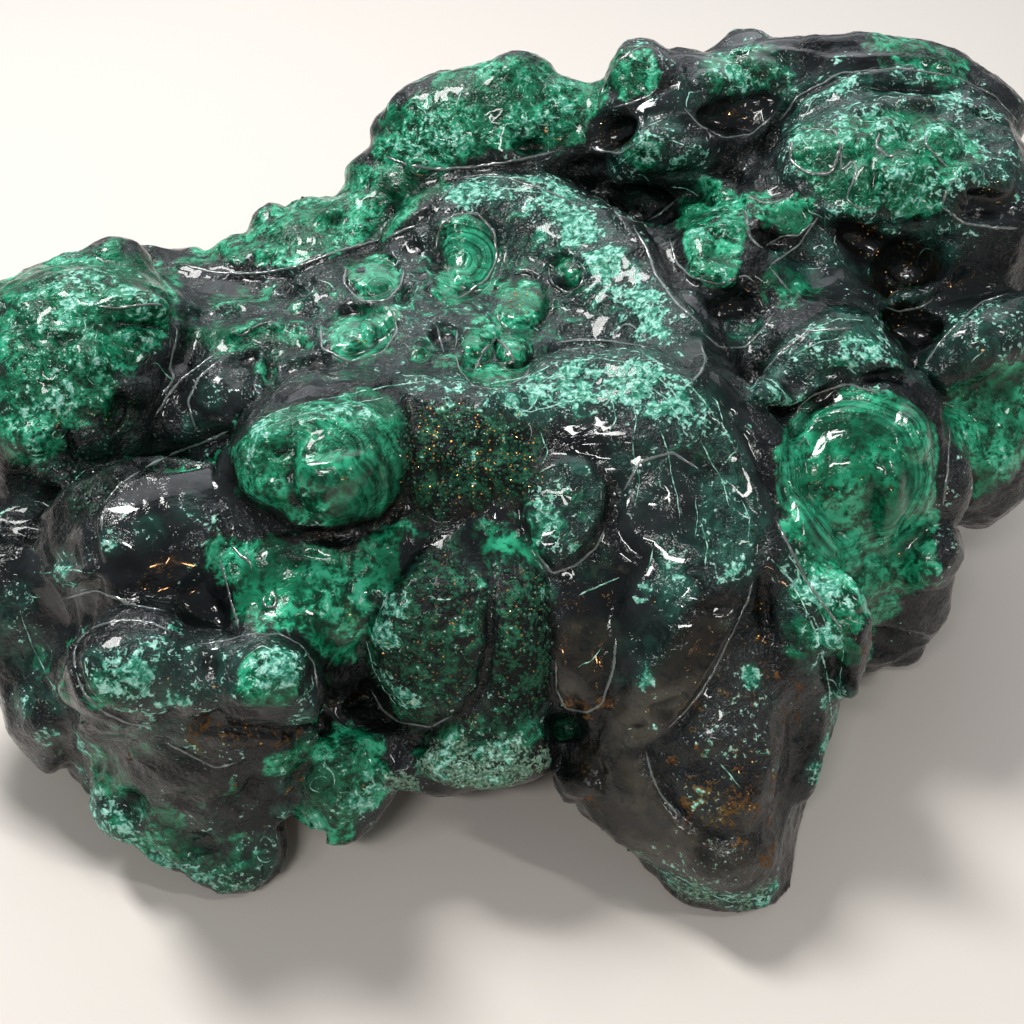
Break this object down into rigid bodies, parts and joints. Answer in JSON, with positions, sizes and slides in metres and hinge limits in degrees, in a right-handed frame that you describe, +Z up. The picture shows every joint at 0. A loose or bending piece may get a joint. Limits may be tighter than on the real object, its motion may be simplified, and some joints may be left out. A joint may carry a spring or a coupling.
{
  "type": "malachite specimen",
  "caption": "Natural lump of dark green botryoidal mineral with rounded lobes, hollows and a worn base, resting on three points.",
  "frame": {"origin": "on the surface it rests on, under the middle of its bounding box", "axes": "+X along its longest side, to the right when its front is seen; +Y towards its back; +Z up"},
  "size_m": [0.1772, 0.139, 0.077],
  "materials": {
    "malachite": "wet gloss, near-black and emerald with pale green flecks"
  },
  "bodies": {
    "root": {"malachite": "malachite"}
  },
  "joints": []
}
